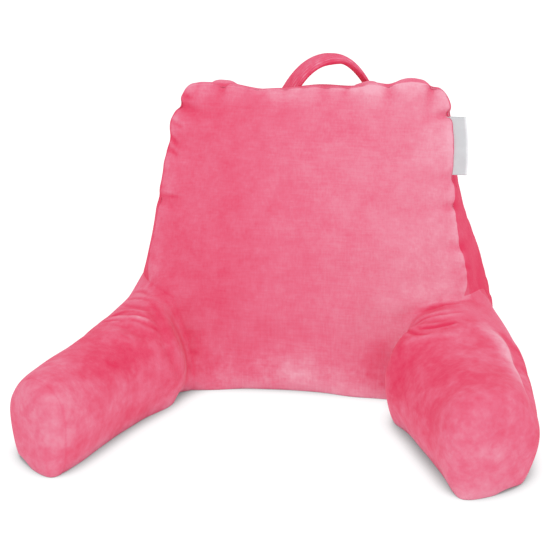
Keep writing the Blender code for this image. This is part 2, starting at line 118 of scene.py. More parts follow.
Spot = namedtuple("Spot", "root middle tip end up tip_up end_up")
SECTION = (              # an arm's section from its inner edge on the floor over to its outer:
    Spot(-0.90, -0.69, -0.68, -0.62, 0.00, 0.00, 0.00),  # shares of the half width and height
    Spot(-1.06, -1.04, -1.00, -0.66, 0.47, 0.47, 0.46),  # at its root, middle and tip and
    Spot(-0.86, -0.86, -0.84, -0.54, 0.93, 0.92, 0.80),  # inside its end panel
    Spot(0.00, 0.00, 0.00, 0.00, 1.04, 1.04, 0.88),
    Spot(0.88, 0.85, 0.78, 0.56, 0.93, 0.91, 0.80),
    Spot(1.05, 1.06, 1.27, 0.80, 0.47, 0.42, 0.44),
    Spot(0.72, 0.72, 0.82, 0.54, 0.00, 0.00, 0.12),
    Spot(0.00, 0.00, 0.00, 0.00, 0.00, 0.00, 0.00),
)
END_MIDDLE = 0.46        # height of the end panel's middle
END_CROWN = 0.004

# ------ seams, gathers and folds
PANEL_CREASE = 0.8       # how sharply the cage keeps the seams round the panels
FLOOR_CREASE = 0.5       # and the edge that it stands on
TIP_CREASE = 0.6
SEAM_HALF_WIDTH = 0.007
Seam = namedtuple("Seam", "name crease depth")
SEAMS = (
    Seam("front", PANEL_CREASE, 0.001),
    Seam("rear", PANEL_CREASE, 0.001),
    Seam("root_L", 0.0, 0.0005),
    Seam("root_R", 0.0, 0.0010),
    Seam("end_L", 0.0, 0.0006),
    Seam("end_R", 0.0, 0.0006),
)
Gather = namedtuple("Gather", "x z depth half_width reach")
# along the front seam; a negative depth stands out as a lobe
GATHERS = [Gather(*metres(row)) for row in (
    (-208, 267, 5, 10, 30),
    (-201, 320, -2, 18, 30),
    (-196, 352, 1, 8, 30),
    (-194, 378, -5, 14, 30),
    (-186, 404, 7, 8, 35),
    (-161, 424, -3, 18, 30),
    (-121, 412, 3, 8, 22),
    (-66, 410, 2, 8, 20),
    (-26, 413, 2, 8, 20),
    (34, 415, 2, 10, 20),
    (99, 418, -4, 14, 30),
    (126, 420, 4, 8, 25),
    (154, 424, -3, 16, 30),
    (184, 424, 6, 7, 35),
    (209, 403, 6, 7, 30),
    (216, 360, -4, 22, 22),
    (217, 315, 4, 8, 30),
    (226, 275, 4, 8, 30),
    (236, 220, 3, 8, 25),
)]
Fold = namedtuple("Fold", "depth half_width start middle end")
# across the elbows, and along the outer top of each sleeve
FOLDS = [Fold(*metres(row)) for row in (
    (3, 10, (-256, 46, 130), (-231, 30, 131), (-198, 19, 132)),
    (3, 9, (-207, 34, 134), (-165, -34, 108), (-145, -22, 34)),
    (4, 11, (-246, -26, 128), (-214, -44, 127), (-176, -32, 121)),
    (3, 10, (147, 57, 116), (186, 51, 137), (222, 59, 145)),
    (2, 10, (154, 41, 118), (214, 10, 140), (269, 25, 139)),
    (3, 9, (163, -12, 122), (210, -12, 136), (252, 2, 138)),
    (-3, 12, (238, 4, 139), (302, -29, 126), (335, -195, 122)),
    (4, 9, (309, 21, 124), (330, -62, 113), (350, -167, 95)),
    (4, 9, (-286, 15, 124), (-314, -65, 113), (-341, -154, 95)),
)]
FOLD_STEPS = 8
FOLD_FADE = 0.5          # power with which a fold runs out at its ends
RIDGE_HEIGHT = 0.35      # the low ridge beside a fold, a share of its depth,
RIDGE_PLACE = 2.2        # and where it stands, in half widths

# ------ strap and tab
STRAP_X = 0.0445         # the top of the strap's arch
STRAP_TOP = 0.4717
STRAP_FOOT = 0.430       # height of its feet
Foot = namedtuple("Foot", "reach y power turn thickness")
STRAP_FEET = (           # how far out and where it meets the top, how square its shoulder is,
    Foot(-0.0639, 0.1865, 2.48, -48.0, 0.0116),  # degrees that the band turns, its thickness
    Foot(0.0472, 0.2065, 1.95, -28.0, 0.0072),
)
STRAP_MIDDLE = (-0.2, 0.0165)  # its thickest place, as a share of the reach, and thickness
STRAP_HALF_WIDTH = 0.0135
STRAP_SINK = 1.14        # its legs run on into the top as far as this share of the reach
STRAP_STATIONS = 161
STRAP_SIDES = 160
STRAP_TRACING = 2001     # points that measure its section
STRAP_SQUARENESS = 0.6   # 1 makes its section an oval, less a box
STRAP_QUILTING = 0.22    # share of the thickness that the stitches pull in
STRAP_ROWS = 20          # rows of stitches round the band
STITCH_POWER = 3
Wave = namedtuple("Wave", "size along around phase")
ROW_WANDER = (Wave(0.8, 7.0, 0.0, 1.0), Wave(0.6, 19.0, 40.0, 0.0))
THREAD = Wave(0.4, 23.0, 31.0, 0.0)  # light and dark along a row
THREAD_MEAN = 0.6
TAB_LOW, TAB_HIGH = 0.319, 0.400
TAB_REACH = 0.0165       # out of the seam at its cut ends
TAB_BOW = 0.003          # more at its middle
TAB_ROOT = 0.012         # sewn into the seam
TAB_BACK = 0.005         # behind the edge of the front panel
TAB_GAP = 0.0018         # middle to middle of its two layers
TAB_LAYER = 0.001
TAB_ROWS = 41
TAB_STEPS = 12
TAB_ARC = 8              # steps round its fold
TAB_RIPPLE = Wave(0.0008, 9.0, 120.0, 0.0)  # along it, and outwards per metre
TAB_FOLD_HIGHLIGHT = (0.004, 0.001)  # before the fold, where a painted highlight makes it lighter

# ------ what shows from close by
ON_SEAM = 0.999          # what a point on a seam reads
COVER_LEVEL = 5          # of subdivision
COVER_TRIANGLES = 190000
COURSE_STRIDE = 8        # of the seam's points, in a first, rough search
COURSE_MARGIN = 0.02     # how much further it looks
COURSE_BLOCK = 4000      # points compared at a time
STITCH_DEPTH = 0.0006    # the stitched line itself
STITCH_HALF_WIDTH = 0.0022
LUMP_SIZE = 0.0009       # of uneven filling
LUMP_WAVELENGTH = 0.085
LUMP_SEED = 3
LUMP_WAVES = 18
LUMP_SPREAD = (0.6, 1.4)
Puckers = namedtuple("Puckers", "seam spacing depth half_width reach")
PUCKERS = (
    Puckers("front", 0.030, 0.0014, 0.0040, 0.014),
    Puckers("rear", 0.017, 0.0020, 0.0040, 0.018),
    Puckers("root_L", 0.025, 0.0010, 0.0040, 0.014),
    Puckers("root_R", 0.025, 0.0010, 0.0040, 0.014),
)
PUCKER_SEED = 40
PUCKER_SPACINGS = (0.4, 1.6)  # single puckers, as shares of these sizes
PUCKER_DEPTHS = (0.3, 1.0)
PUCKER_WIDTHS = (0.7, 1.5)
PUCKER_REACHES = (0.4, 1.5)
PUCKER_SLANT = 0.35
STITCHED = ("front", "rear", "root_L", "end_L")
# finer than the solid's folds
CREASES = [Fold(*metres(row)) for row in (
    (2, 4, (-255, 40, 131), (-232, 26, 132), (-205, 18, 130)),
    (2, 4, (-262, 10, 128), (-232, 0, 130), (-200, -4, 127)),
    (1.5, 3, (-258, 56, 121), (-233, 35, 129), (-207, 25, 130)),
    (1.5, 3, (-250, 70, 124), (-232, 57, 131), (-211, 42, 132)),
    (1.5, 3, (-247, 90, 128), (-231, 78, 136), (-214, 59, 136)),
    (1.5, 3, (-262, 4, 121), (-243, 11, 126), (-214, 3, 127)),
    (1.5, 3, (-277, -17, 116), (-258, -13, 122), (-232, -22, 124)),
    (1.5, 4, (-231, -16, 125), (-203, -21, 122), (-184, -16, 118)),
    (2.5, 3, (187, -6, 133), (215, -3, 138), (242, 12, 139)),
    (2, 3, (155, 53, 101), (183, -16, 131), (207, -20, 136)),
    (2, 3, (183, 58, 136), (215, 60, 144), (243, 71, 144)),
    (1.5, 3, (160, 35, 122), (205, 28, 140), (250, 40, 142)),
    (1.5, 3, (-203, 151, 363), (-193, 144, 356), (-182, 139, 347)),
    (1.5, 3, (-204, 146, 346), (-194, 139, 339), (-182, 134, 330)),
    (1.5, 3, (-198, 156, 380), (-186, 149, 377), (-175, 146, 372)),
    (1.2, 3, (-206, 122, 272), (-193, 118, 274), (-177, 114, 272)),
    (-5, 8, (-137, 188, 446), (-120, 190, 448), (-103, 188, 447)),
    (-3, 7, (73, 188, 456), (88, 189, 457), (104, 188, 456)),
    (-3, 7, (134, 188, 458), (156, 189, 459), (180, 188, 458)),
)]
CLOTH_LEVEL = 3          # the same, as a cloth
CLOTH_FRAMES = 24
CLOTH_FLOOR = 0.003      # what lies lower keeps its place
CLOTH_REACH = 0.008      # no point of the cloth moves further
SEAM_HOLD = 0.9          # how firmly the seams keep their place
HELD_SEAMS = ("front", "rear")
CLOTH = {                # settings of Blender's cloth
    "quality": 4,
    "mass": 0.3,
    "tension_stiffness": 20.0,
    "compression_stiffness": 20.0,
    "shear_stiffness": 8.0,
    "bending_stiffness": 0.3,
    "tension_damping": 15.0,
    "compression_damping": 15.0,
    "shear_damping": 10.0,
    "air_damping": 4.0,
    "use_pressure": True,
    "uniform_pressure_force": 5.0,
    "shrink_max": -0.25,
}
Slack = namedtuple("Slack", "place reach")
# more cloth than the filling needs
SLACK_SPOTS = [Slack(*metres(row)) for row in (
    ((-230, 20, 130), 70),
    ((210, 20, 140), 80),
    ((-190, 150, 380), 60),
    ((210, 150, 390), 60),
)]

# ------ how the pile lies, with painted light and shade
ARMS_BEGIN = (-0.045, -0.005)  # -y over which the back's pile turns into the arms'
ARMS_TOP = (-0.175, -0.140)    # and -z
FRONT_FACING = (0.25, 0.60)    # -y of the surface normal over which a side becomes the front
NAP_SIDES = -0.10
NAP_MIDDLE = 0.02        # the front panel, at x = 0
NAP_AND_LIGHT_SLOPE = 5.4          # per metre: lighter to the right, as brushed pile and as painted light
NAP_REACH = (-0.11, 0.20)  # x between which it changes
# the sleeves lie darker and their tips lighter, as pile and as painted sheen
NAP_SLEEVE = -0.60
NAP_TIP = 0.20
TIP_BRIGHTENS = (0.17, 0.27)  # -y over which a sleeve turns into its tip
TOP_PAINTED_SHEEN = 1.2          # painted sheen along the top, where the front rolls over to the boxing
TOP_FACING = (0.35, 0.75)
TOP_HEIGHTS = (0.395, 0.425)
FOOT_PAINTED_SHEEN = 0.6         # painted sheen just above the floor
FOOT_HEIGHT = 0.006
FOOT_SPREAD = 0.014
CRUSHED_HEIGHT = 0.035   # blotchiest at this height
CRUSHED_SPREAD = 0.030
PANEL_CRUSH = 0.45
DENT_SHADE = 0.0016      # a dent this deep is painted one shade darker
DENT_SHADES = (-0.8, 1.2)
SOLID_DENTS = 0.3        # how much of the solid's own dents counts in that painted shade
RIM_PAINTED_SHEEN = 0.8          # painted sheen along the front seam
RIM_HALF_WIDTH = 0.009
STROKE_FADE = 0.4        # as FOLD_FADE
Stroke = namedtuple("Stroke", "light half_width start middle end")
# painted sheen along ridges and ends, painted shade along creases and strips, and pile brushed
# lighter or darker
LIGHT_AND_SHADE_STROKES = [Stroke(light, *metres(row)) for light, *row in (
    (1.8, 17, (270, 20, 137), (316, -55, 119), (342, -170, 106)),
    (-2.6, 10, (320, 4, 112), (352, -62, 86), (361, -165, 70)),
    (0.5, 35, (300, -245, 35), (325, -228, 45), (345, -205, 60)),
    (-0.5, 45, (171, -47, 116), (232, -150, 119), (270, -215, 112)),
    (-0.9, 22, (170, -11, 126), (157, -52, 97), (157, -64, 55)),
    (-1.2, 22, (135, 51, 90), (128, 45, 47), (129, 40, 17)),
    (-0.8, 22, (-197, -50, 113), (-224, -109, 110), (-248, -182, 111)),
    (0.8, 28, (-176, -61, 51), (-210, -136, 58), (-245, -222, 52)),
    (0.5, 45, (-310, -245, 95), (-298, -258, 70), (-285, -262, 30)),
    (0.5, 22, (-302, -201, 125), (-286, -134, 120), (-261, -108, 119)),
    (-0.7, 5, (-221, 57, 134), (-185, 9, 123), (-165, -26, 97)),
    (-1.0, 7, (-177, 36, 113), (-161, 26, 74), (-156, 12, 16)),
    (-1.8, 30, (272, 224, 154), (276, 183, 140), (280, 128, 137)),
    (0.5, 12, (-156, 160, 423), (-119, 157, 421), (-84, 154, 417)),
    (0.7, 12, (-60, 157, 426), (-15, 153, 423), (29, 153, 426)),
    (0.6, 12, (69, 162, 440), (95, 159, 439), (124, 158, 436)),
    (0.6, 8, (-190, 132, 318), (-196, 122, 282), (-204, 112, 246)),
    (0.6, 8, (-205, 105, 225), (-212, 89, 174), (-220, 63, 136)),
    (-1.0, 3, (-180, 161, 416), (-171, 159, 416), (-160, 158, 415)),
    (-1.0, 3, (177, 164, 446), (185, 163, 441), (191, 161, 436)),
    (0.9, 7, (165, -26, 122), (204, -34, 133), (249, -26, 136)),
    (0.6, 6, (165, 30, 126), (207, 20, 140), (252, 34, 141)),
    (-0.8, 9, (178, 62, 136), (212, 52, 142), (245, 60, 143)),
    (-0.7, 4, (187, -6, 133), (215, -3, 138), (242, 12, 139)),
    (1.0, 7, (-252, 40, 125), (-225, 22, 130), (-196, 14, 128)),
    (1.0, 7, (-262, -6, 120), (-235, -3, 126), (-200, -12, 124)),
    (0.6, 30, (-120, 45, 42), (0, 47, 37), (100, 45, 42)),
)]

# ------ finish
SHADE_STEP = 0.25        # of the ramp below, for one step of nap
PLUSH_STOPS = (          # colour of the pile as it lies from dark to light
    (0.00, (0.745, 0.046, 0.118)),
    (0.25, (0.772, 0.089, 0.172)),
    (0.50, (0.792, 0.156, 0.254)),
    (0.75, (0.815, 0.252, 0.353)),
    (1.00, (0.862, 0.385, 0.485)),
)
NAP_BLOTCHES = ((14.0, 2.4), (34.0, 2.2), (90.0, 1.6), (220.0, 0.8))  # scale, shades
PILE_GRAIN = ((900.0, 1.0), (260.0, 1.5))
PILE_BUMP = (0.35, 0.0012)  # strength, distance
PILE_ROUGHNESS = 0.9
PILE_SPECULAR = 0.1
WEAVE_SCALE = 400.0      # faint threads across and up the cloth
WEAVE_STRETCHES = ((0.1, 1.0, 1.0), (1.0, 1.0, 0.1))
WEAVE_AMOUNT = 0.9
SHEEN = 0.13
SHEEN_ROUGHNESS = 0.35
SHEEN_TINT = (1.0, 0.80, 0.86, 1.0)
Panel = namedtuple("Panel", "name tone sheen", defaults=(0.0, SHEEN))
PANELS = (               # tone is how light the pile lies
    # the boxing's darker tone is its pile and painted shade on the sides
    Panel("plush_front"), Panel("plush_boxing", -1.4, 0.02), Panel("plush_rear"),
    Panel("plush_sleeve"), Panel("plush_end"), Panel("plush_base"),
)
STRAP_TONE = -0.6
STRAP_LIGHT = 2.6        # its threads
STRAP_UNDER_SHADE = 1.5    # painted shade: how much darker it is underneath
STRAP_SHADE_FACING = (-0.20, 0.30)  # how far down it faces where that begins and ends
UNDER_FADE = 0.7         # of the threads
SATIN_STOPS = ((0.0, (0.59, 0.60, 0.62)), (0.5, (0.66, 0.67, 0.69)), (1.0, (0.82, 0.83, 0.85)))
SATIN_THREADS = 500.0
SATIN_BUMP = (0.2, 0.0003)
SATIN_CLOUDS = 60.0
SATIN_ROUGHNESS = 0.45
SATIN_SHEEN = 0.2

# ------ stage
TARGET = Vector((-0.0143, -0.0302, 0.2146))
CAMERA_AZIMUTH = 7.965   # degrees to the right of the front
CAMERA_ELEVATION = 21.08
CAMERA_DISTANCE = 2.2
CAMERA_LENS = 102.97
FLOOR_SIZE = 8.0
FLOOR_DROP = 0.0003      # below the base
FLOOR_ROUGHNESS = 0.9
FLOOR_COLOUR = (0.20, 0.22, 0.22)
# the floor's own glow, with a painted shadow where it sees less of the sky
FLOOR_GLOW_AND_SHADOW = (           # by how much of the sky a point of the floor sees
    (0.0, (0.01, 0.02, 0.02)),
    (0.35, (0.26, 0.28, 0.28)),
    (0.60, (0.76, 0.77, 0.77)),
    (0.85, (0.92, 0.92, 0.92)),
)
SHADOW_REACH = 0.04
SKY = 0.95
LAMP_POWER = 12.0
LAMP_SIZE = 2.2
LAMP_PLACE = Vector((0.4, -1.0, 2.6))


def bend(t, root, middle, tip):
    """A size that runs from root over middle to tip as t goes from 0 to 1."""
    return float(np.interp(t, (0.0, 0.5, 1.0), (root, middle, tip)))


# ------ the cage
def back_point(i, j, k):
    """Cage point in column i, depth step j (0 front, 2 rear) and row k."""
    row, column = ROWS[k], COLUMNS[i]
    rise = row.height
    half = row.left if column.across < 0 else row.right
    bulge = 1.0 - column.across**2
    height = BACK_HEIGHT * rise
    slope = tan(radians(BACK_LEAN))
    foot, top = CROWN_PLACES
    arch = sin(pi * (foot + (top - foot) * rise))
    crown = FRONT_CROWN * arch * bulge if k else column.toe
    front = height * slope - crown
    rear_top = BACK_HEIGHT * slope + TOP_DEPTH
    rear = BASE_DEPTH + (rear_top - BASE_DEPTH) * rise + REAR_CROWN * bulge * sin(pi * rise)
    side_crown = SIDE_CROWNS[0 if column.across < 0 else 1]
    flare = (0.0, 0.5 * row.flare + side_crown, row.flare)[j]
    across = column.across - (row.root if i == 1 and j == 0 else 0.0)
    x = across * (half + flare)
    y = front + (rear - front) * j / DEPTH_STEPS
    if k == 0:
        z = -FLOOR_ALLOWANCE
    elif k == len(ROWS) - 1:
        z = height + column.lift - TOP_FALL[j]
    else:
        z = height + (column.lift * rise**3 if j < DEPTH_STEPS else 0.0)
    return Vector((BACK_X + x, FRONT_Y + y, z))


def arm_path(arm):
    """Distance, place and heading along the middle of an arm, from its root out."""
    track = []
    x, y = arm.root
    root_turn, tip_turn, _ = arm.turns
    step = arm.length / PATH_STEPS
    for n in range(PATH_STEPS + 1):
        left = max(0.0, 1.0 - 2.0 * n / PATH_STEPS)
        turn = radians(tip_turn + (root_turn - tip_turn) * left**2)
        track.append((n * step, x, y, turn))
        x += sin(turn) * step
        y -= cos(turn) * step
    return np.array(track)


def arm_ring(arm, track, station):
    """The eight cage points of an arm's section; the last ring lies inside the end panel."""
    share = STATIONS[station - 1]
    x, y, turn = (np.interp(share * arm.length, track[:, 0], track[:, c]) for c in (1, 2, 3))
    past = max(0.0, (share - END_BEGINS) / (1.0 - END_BEGINS))
    turn += radians(arm.turns[2] - arm.turns[1]) * past
    half = bend(share, *arm.half_widths)
    tall = bend(share, *arm.heights)
    last = station == len(STATIONS)
    ring = []
    for spot in SECTION:
        across = bend(share, spot.root, spot.middle, spot.tip)
        up = bend(share, spot.up, spot.up, spot.tip_up)
        if last:
            across, up = spot.end, spot.end_up
        z = tall * up if up > 0.0 else -FLOOR_ALLOWANCE
        ring.append(Vector((
            BACK_X + arm.side * (x + across * half * cos(turn)),
            FRONT_Y + y + across * half * sin(turn),
            z,
        )))
    return ring


def arm_root(arm):
    """Keys of the back's points that the arm grows out of, in the order of SECTION."""
    edge = 0 if arm.side < 0 else len(COLUMNS) - 1
    inner = 1 if arm.side < 0 else len(COLUMNS) - 2
    top = ROOT_ROWS
    return [
        (inner, 0, 0), (inner, 0, 1), (inner, 0, top), (edge, 0, top),
        (edge, 1, top), (edge, 1, 1), (edge, 1, 0), (edge, 0, 0),
    ]


def cage_points():
    """Every cage point by its key."""
    points = {}
    for i in range(len(COLUMNS)):
        for j in range(DEPTH_STEPS + 1):
            for k in range(len(ROWS)):
                points[i, j, k] = back_point(i, j, k)
    for arm in ARMS:
        track = arm_path(arm)
        for station in range(1, len(STATIONS) + 1):
            for n, point in enumerate(arm_ring(arm, track, station)):
                points[arm.name, station, n] = point
        _, x, y, _ = track[-1]
        turn = radians(arm.turns[2])
        tall = arm.heights[-1]
        points[arm.name, "end"] = Vector((
            BACK_X + arm.side * (x + END_CROWN * sin(turn)),
            FRONT_Y + y - END_CROWN * cos(turn),
            END_MIDDLE * tall,
        ))
    return points


def cage_faces():
    """Quads of the cage as tuples of keys, facing out."""
    wide, tall, deep = len(COLUMNS) - 1, len(ROWS) - 1, DEPTH_STEPS
    faces = []
    for k in range(tall):
        for i in range(wide):
            if k >= ROOT_ROWS or i not in (0, wide - 1):
                faces.append(((i, 0, k), (i + 1, 0, k), (i + 1, 0, k + 1), (i, 0, k + 1)))
            faces.append(((i + 1, deep, k), (i, deep, k), (i, deep, k + 1), (i + 1, deep, k + 1)))
        for j in range(deep):
            if k >= ROOT_ROWS or j > 0:
                faces.append((
                    (wide, j, k), (wide, j + 1, k), (wide, j + 1, k + 1), (wide, j, k + 1)))
                faces.append(((0, j + 1, k), (0, j, k), (0, j, k + 1), (0, j + 1, k + 1)))
    for i in range(wide):
        for j in range(deep):
            faces.append(((i, j, tall), (i + 1, j, tall), (i + 1, j + 1, tall), (i, j + 1, tall)))
            faces.append(((i, j + 1, 0), (i + 1, j + 1, 0), (i + 1, j, 0), (i, j, 0)))
    for arm in ARMS:
        rings = [arm_root(arm)]
        rings += [[(arm.name, s, n) for n in range(8)] for s in range(1, len(STATIONS) + 1)]
        sleeve = []
        for near, far in zip(rings, rings[1:]):
            for n in range(8):
                m = (n + 1) % 8
                sleeve.append((near[n], near[m], far[m], far[n]))
        last, end = rings[-1], (arm.name, "end")
        for n in range(0, 8, 2):
            sleeve.append((last[n], last[n + 1], end, last[n - 1]))
        faces += sleeve if arm.side < 0 else [face[::-1] for face in sleeve]
    return faces


def chain(keys):
    """The edges that join the keys one after another."""
    return list(zip(keys, keys[1:]))


def seam_edges():
    """Cage edges of every seam, by the seam's name."""
    wide, tall, deep = len(COLUMNS) - 1, len(ROWS) - 1, DEPTH_STEPS
    edges = {}
    for name, j, low in (("front", 0, ROOT_ROWS), ("rear", deep, 0)):
        up = [(0, j, k) for k in range(low, tall)]
        over = [(i, j, tall) for i in range(wide + 1)]
        down = [(wide, j, k) for k in range(tall - 1, low - 1, -1)]
        edges[name] = chain(up + over + down)
    for arm in ARMS:
        edges["root_" + arm.name] = chain(arm_root(arm)[:-1])
        ring = [(arm.name, len(STATIONS) - 1, n) for n in range(7)]
        edges["end_" + arm.name] = chain(ring)
    return edges


def cage_creases():
    """Cage edges that stay firmer than the rest."""
    wide = len(COLUMNS) - 1
    creases = {}
    seams = seam_edges()
    for seam in SEAMS:
        creases.update({edge: seam.crease for edge in seams[seam.name]})
    for j in (0, DEPTH_STEPS):
        for i in range(wide):
            creases[(i, j, 0), (i + 1, j, 0)] = FLOOR_CREASE
    for arm in ARMS:
        last = len(STATIONS)
        inner = [(arm.name, s, 0) for s in range(1, last + 1)]
        outer = [(arm.name, s, 6) for s in range(1, last + 1)]
        floor_edge = inner + [(arm.name, last, 7)] + outer[::-1]
        creases.update({edge: TIP_CREASE for edge in chain(floor_edge)})
    return creases


def panel_of(face):
    """The panel of the cover that a cage face lies in."""
    if all(isinstance(key[0], int) for key in face):
        _, depths, rows = zip(*face)
        if max(rows) == 0:
            return "plush_base"
        if max(depths) == 0:
            return "plush_front"
        return "plush_rear" if min(depths) == DEPTH_STEPS else "plush_boxing"
    last = len(STATIONS)
    stations = [last if key[1] == "end" else key[1] for key in face if key[0] in ("L", "R")]
    return "plush_end" if min(stations) >= last - 1 else "plush_sleeve"


def cage_mesh(name):
    """The cage as a mesh: its edges carry their creases and its points their seams."""
    points, faces = cage_points(), cage_faces()
    used = [key for key in points if any(key in face for face in faces)]
    number = {key: n for n, key in enumerate(used)}
    mesh = bpy.data.meshes.new(name)
    corners = [[number[key] for key in face] for face in faces]
    mesh.from_pydata([points[key] for key in used], [], corners)
    crease = mesh.attributes.new("crease_edge", "FLOAT", "EDGE")
    firm = {frozenset((number[a], number[b])): weight for (a, b), weight in cage_creases().items()}
    for edge in mesh.edges:
        crease.data[edge.index].value = firm.get(frozenset(edge.vertices), 0.0)
    for seam, edges in seam_edges().items():
        on_seam = mesh.attributes.new(seam, "FLOAT", "POINT")
        for key in {key for edge in edges for key in edge}:
            on_seam.data[number[key]].value = 1.0
        order = mesh.attributes.new(seam + "_order", "FLOAT", "POINT")
        for n, (_, key) in enumerate(edges):
            order.data[number[key]].value = n + 1.0
    panel_names = [panel.name for panel in PANELS]
    for polygon, face in zip(mesh.polygons, faces):
        polygon.material_index = panel_names.index(panel_of(face))
    return mesh


# ------ modelling steps
def link(name, data):
    obj = bpy.data.objects.new(name, data)
    bpy.context.scene.collection.objects.link(obj)
    return obj


def link_bmesh(name, bm):
    mesh = bpy.data.meshes.new(name)
    bm.to_mesh(mesh)
    bm.free()
    return link(name, mesh)


def evaluated(obj):
    """The object's mesh with its modifiers applied; the modifiers are then removed."""
    bpy.context.view_layer.update()
    graph = bpy.context.evaluated_depsgraph_get()
    mesh = bpy.data.meshes.new_from_object(obj.evaluated_get(graph))
    obj.modifiers.clear()
    old, obj.data = obj.data, mesh
    bpy.data.meshes.remove(old)
    return mesh


def smooth(obj, level):
    modifier = obj.modifiers.new("smooth", "SUBSURF")
    modifier.levels = level
    return evaluated(obj)


def thin_out(obj, triangles):
    obj.data.calc_loop_triangles()
    modifier = obj.modifiers.new("thin_out", "DECIMATE")
    modifier.ratio = triangles / len(obj.data.loop_triangles)
    return evaluated(obj)


def cut_at_floor(obj):
    bm = bmesh.new()
    bm.from_mesh(obj.data)
    everything = bm.verts[:] + bm.edges[:] + bm.faces[:]
    cut = bmesh.ops.bisect_plane(
        bm, geom=everything, dist=1e-6, plane_co=(0, 0, 0), plane_no=(0, 0, 1), clear_inner=True)
    rim = [item for item in cut["geom_cut"] if isinstance(item, bmesh.types.BMEdge)]
    bmesh.ops.contextual_create(bm, geom=rim)
    bmesh.ops.recalc_face_normals(bm, faces=bm.faces)
    bm.to_mesh(obj.data)
    bm.free()


def read_points(mesh):
    """The mesh's points and normals as arrays."""
    flat = np.empty(len(mesh.vertices) * 3, np.float32)
    mesh.vertices.foreach_get("co", flat)
    places = flat.reshape(-1, 3).astype(float)
    mesh.vertex_normals.foreach_get("vector", flat)
    return places, flat.reshape(-1, 3).astype(float)


def write_points(mesh, places):
    mesh.vertices.foreach_set("co", places.astype(np.float32).ravel())
    mesh.update()


def point_values(mesh, name):
    value = np.empty(len(mesh.vertices), np.float32)
    mesh.attributes[name].data.foreach_get("value", value)
    return value


def add_values(mesh, name, values):
    attribute = mesh.attributes.new(name, "FLOAT", "POINT")
    attribute.data.foreach_set("value", values.astype(np.float32))


def lumps(places):
    """Smooth noise about 1 in size: waves of random direction and phase added up."""
    rng = np.random.default_rng(LUMP_SEED)
    heading = rng.normal(size=(LUMP_WAVES, 3))
    heading /= np.linalg.norm(heading, axis=1)[:, None]
    heading *= (rng.uniform(*LUMP_SPREAD, LUMP_WAVES) * 2.0 * pi / LUMP_WAVELENGTH)[:, None]
    phase = rng.uniform(0.0, 2.0 * pi, LUMP_WAVES)
    return np.cos(places @ heading.T + phase).sum(axis=1) * (2.0 / LUMP_WAVES)**0.5


# ------ seams and creases
class Course:
    """A seam's points in order, with its tangents, normals and lengths along it."""

    def __init__(self, mesh, places, normals, name):
        on_seam = np.nonzero(point_values(mesh, name) > ON_SEAM)[0]
        order = on_seam[np.argsort(point_values(mesh, name + "_order")[on_seam])]
        self.points = places[order]
        self.normals = normals[order]
        self.tangents = np.gradient(self.points, axis=0)
        self.tangents /= np.linalg.norm(self.tangents, axis=1)[:, None]
        steps = np.linalg.norm(np.diff(self.points, axis=0), axis=1)
        self.lengths = np.concatenate(((0.0,), np.cumsum(steps)))

    def nearby(self, places, within):
        """Points close to the seam: their numbers, distance, length along and side of it."""
        rough = np.full(len(places), np.inf)
        for point in self.points[::COURSE_STRIDE]:
            rough = np.minimum(rough, np.linalg.norm(places - point, axis=1))
        close = np.nonzero(rough < within + COURSE_MARGIN)[0]
        nearest = np.empty(len(close), int)
        for start in range(0, len(close), COURSE_BLOCK):
            block = slice(start, start + COURSE_BLOCK)
            gaps = np.linalg.norm(places[close[block], None] - self.points[None], axis=2)
            nearest[block] = np.argmin(gaps, axis=1)
        offset = places[close] - self.points[nearest]
        across = np.cross(self.tangents[nearest], self.normals[nearest])
        side = np.sign(np.einsum("ij,ij->i", offset, across))
        return close, np.linalg.norm(offset, axis=1), self.lengths[nearest], side


def seam_groove(course, places, depth, half_width):
    inward = np.zeros(len(places))
    close, gaps, _, _ = course.nearby(places, 3.0 * half_width)
    inward[close] = depth * np.exp(-(gaps / half_width) ** 2)
    return inward


def seam_puckers(course, places, kind, seed):
    """Short dents that run away from a seam, unevenly spaced, each side with its own reach."""
    rng = np.random.default_rng(seed)
    inward = np.zeros(len(places))
    close, gaps, along, side = course.nearby(places, 3.0 * kind.reach)
    spot = 0.0
    while spot < course.lengths[-1]:
        spot += kind.spacing * rng.uniform(*PUCKER_SPACINGS)
        depth = kind.depth * rng.uniform(*PUCKER_DEPTHS)
        wide = kind.half_width * rng.uniform(*PUCKER_WIDTHS)
        slant = rng.normal(0.0, PUCKER_SLANT)
        reaches = kind.reach * rng.uniform(*PUCKER_REACHES, 2)
        reach = np.where(side > 0, reaches[0], reaches[1])
        offset = (along - spot - slant * gaps) / (wide * (1.0 + gaps / kind.reach))
        inward[close] += depth * np.exp(-offset**2 - (gaps / reach) ** 2)
    return inward


def fold_line(fold, places):
    """The fold's course on the surface, a curve over three points."""
    start, middle, end = (np.array(point) for point in (fold.start, fold.middle, fold.end))
    line = []
    for t in np.linspace(0.0, 1.0, FOLD_STEPS):
        point = (1 - t) * (1 - 2 * t) * start + 4 * t * (1 - t) * middle + t * (2 * t - 1) * end
        line.append(places[np.argmin(np.linalg.norm(places - point, axis=1))])
    return np.array([point for n, point in enumerate(line) if n == 0 or any(point != line[n - 1])])


def distance_to_line(places, line):
    """Distance of every place to a line of points, and how far along it that is, 0 to 1."""
    best = np.full(len(places), np.inf)
    along = np.zeros(len(places))
    lengths = np.linalg.norm(np.diff(line, axis=0), axis=1)
    starts = np.concatenate(((0.0,), np.cumsum(lengths)))
    for a, b, start, length in zip(line, line[1:], starts, lengths):
        t = np.clip((places - a) @ (b - a) / length**2, 0.0, 1.0)
        gap = np.linalg.norm(places - a - t[:, None] * (b - a), axis=1)
        nearer = gap < best
        best[nearer] = gap[nearer]
        along[nearer] = (start + t * length)[nearer]
    return best, along / starts[-1]


